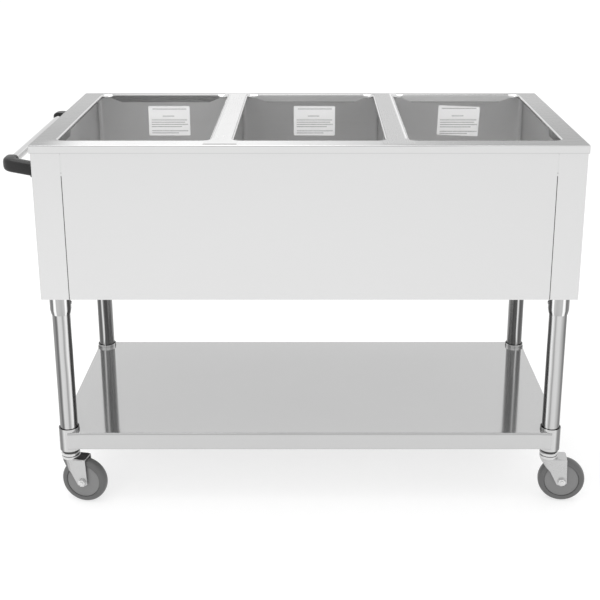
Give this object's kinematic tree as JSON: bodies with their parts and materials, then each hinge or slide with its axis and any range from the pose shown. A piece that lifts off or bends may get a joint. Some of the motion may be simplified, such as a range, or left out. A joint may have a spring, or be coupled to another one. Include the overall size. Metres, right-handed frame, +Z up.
{
  "type": "steam table unit",
  "caption": "Mobile open-well steam table: stainless steel body with full-size pan wells, side push handle, undershelf and swivel casters.",
  "frame": {"origin": "on the floor under the middle of the body, which is the middle of the footprint to within a few millimetres", "axes": "+X along the length, to the customer's right (the push handle is on -X); -Y faces the customer (plain front panel), +Y faces the operator (control panel); +Z up"},
  "size_m": [1.2275, 0.5826, 0.819],
  "materials": {
    "deck_steel": "fine brushed stainless, bright",
    "panel_steel": "satin stainless sheet",
    "liner_steel": "brushed stainless, darker inside the wells",
    "shelf_steel": "polished stainless with soft mirror reflections",
    "polished_tube": "polished tube",
    "zinc_casting": "bright zinc plate",
    "element_sheath": "heat-darkened element sheath",
    "black_plastic": "moulded, semi-matt",
    "ivory_plastic": "moulded phenolic",
    "lamp_lens": "translucent amber lens",
    "wheel_rubber": "grey solid rubber",
    "insulation_wool": "fibrous wool blanket"
  },
  "bodies": {
    "frame": {"deck_top": "deck_steel", "left_side_panel": "panel_steel", "right_side_panel": "panel_steel", "front_panel": "panel_steel", "back_panel": "panel_steel", "control_panel": "panel_steel", "bottom_pan": "panel_steel", "left_well_liner": "liner_steel", "left_heating_element": "element_sheath", "left_heat_switch": "ivory_plastic", "left_pilot_lamp": "lamp_lens", "middle_well_liner": "liner_steel", "middle_heating_element": "element_sheath", "middle_heat_switch": "ivory_plastic", "middle_pilot_lamp": "lamp_lens", "right_well_liner": "liner_steel", "right_heating_element": "element_sheath", "right_heat_switch": "ivory_plastic", "right_pilot_lamp": "lamp_lens", "insulation_wrap": "insulation_wool", "terminal_block": "ivory_plastic", "cable_gland": "black_plastic", "handle_tube": "polished_tube", "front_handle_elbow": "black_plastic", "rear_handle_elbow": "black_plastic", "front_left_leg_socket": "zinc_casting", "front_left_leg": "polished_tube", "front_left_shelf_collar": "shelf_steel", "front_right_leg_socket": "zinc_casting", "front_right_leg": "polished_tube", "front_right_shelf_collar": "shelf_steel", "rear_left_leg_socket": "zinc_casting", "rear_left_leg": "polished_tube", "rear_left_shelf_collar": "shelf_steel", "rear_right_leg_socket": "zinc_casting", "rear_right_leg": "polished_tube", "rear_right_shelf_collar": "shelf_steel", "undershelf": "shelf_steel", "shelf_stiffener": "panel_steel", "front_left_caster_stem": "zinc_casting", "front_right_caster_stem": "zinc_casting", "rear_left_caster_stem": "zinc_casting", "rear_right_caster_stem": "zinc_casting"},
    "front_left_swivel": {"front_left_caster_fork": "zinc_casting", "front_left_caster_axle": "zinc_casting"},
    "front_left_wheel": {"front_left_caster_wheel": "wheel_rubber"},
    "front_right_swivel": {"front_right_caster_fork": "zinc_casting", "front_right_caster_axle": "zinc_casting"},
    "front_right_wheel": {"front_right_caster_wheel": "wheel_rubber"},
    "rear_left_swivel": {"rear_left_caster_fork": "zinc_casting", "rear_left_caster_axle": "zinc_casting"},
    "rear_left_wheel": {"rear_left_caster_wheel": "wheel_rubber"},
    "rear_right_swivel": {"rear_right_caster_fork": "zinc_casting", "rear_right_caster_axle": "zinc_casting"},
    "rear_right_wheel": {"rear_right_caster_wheel": "wheel_rubber"},
    "left_knob": {"left_control_knob": "black_plastic"},
    "middle_knob": {"middle_control_knob": "black_plastic"},
    "right_knob": {"right_control_knob": "black_plastic"}
  },
  "joints": [
    {"name": "front_left_caster_swivel", "type": "hinge", "parent": "frame", "child": "front_left_swivel", "pos_m": [-0.5265, -0.228, 0.107], "axis": [0, 0, 1], "continuous": true},
    {"name": "front_left_wheel_spin", "type": "hinge", "parent": "front_left_swivel", "child": "front_left_wheel", "pos_m": [-0.49716, -0.23424, 0.051], "axis": [0.2079, 0.9781, 0], "continuous": true},
    {"name": "front_right_caster_swivel", "type": "hinge", "parent": "frame", "child": "front_right_swivel", "pos_m": [0.5265, -0.228, 0.107], "axis": [0, 0, 1], "continuous": true},
    {"name": "front_right_wheel_spin", "type": "hinge", "parent": "front_right_swivel", "child": "front_right_wheel", "pos_m": [0.55634, -0.23114, 0.051], "axis": [0.1045, 0.9945, 0], "continuous": true},
    {"name": "rear_left_caster_swivel", "type": "hinge", "parent": "frame", "child": "rear_left_swivel", "pos_m": [-0.5265, 0.228, 0.107], "axis": [0, 0, 1], "continuous": true},
    {"name": "rear_left_wheel_spin", "type": "hinge", "parent": "rear_left_swivel", "child": "rear_left_wheel", "pos_m": [-0.50001, 0.24208, 0.051], "axis": [-0.4695, 0.8829, 0], "continuous": true},
    {"name": "rear_right_caster_swivel", "type": "hinge", "parent": "frame", "child": "rear_right_swivel", "pos_m": [0.5265, 0.228, 0.107], "axis": [0, 0, 1], "continuous": true},
    {"name": "rear_right_wheel_spin", "type": "hinge", "parent": "rear_right_swivel", "child": "rear_right_wheel", "pos_m": [0.50001, 0.24208, 0.051], "axis": [-0.4695, -0.8829, 0], "continuous": true},
    {"name": "left_knob_turn", "type": "hinge", "parent": "frame", "child": "left_knob", "pos_m": [-0.3556, 0.27185, 0.557], "axis": [0, 1, 0], "range_deg": [0, 300]},
    {"name": "middle_knob_turn", "type": "hinge", "parent": "frame", "child": "middle_knob", "pos_m": [0, 0.27185, 0.557], "axis": [0, 1, 0], "range_deg": [0, 300]},
    {"name": "right_knob_turn", "type": "hinge", "parent": "frame", "child": "right_knob", "pos_m": [0.3556, 0.27185, 0.557], "axis": [0, 1, 0], "range_deg": [0, 300]}
  ]
}
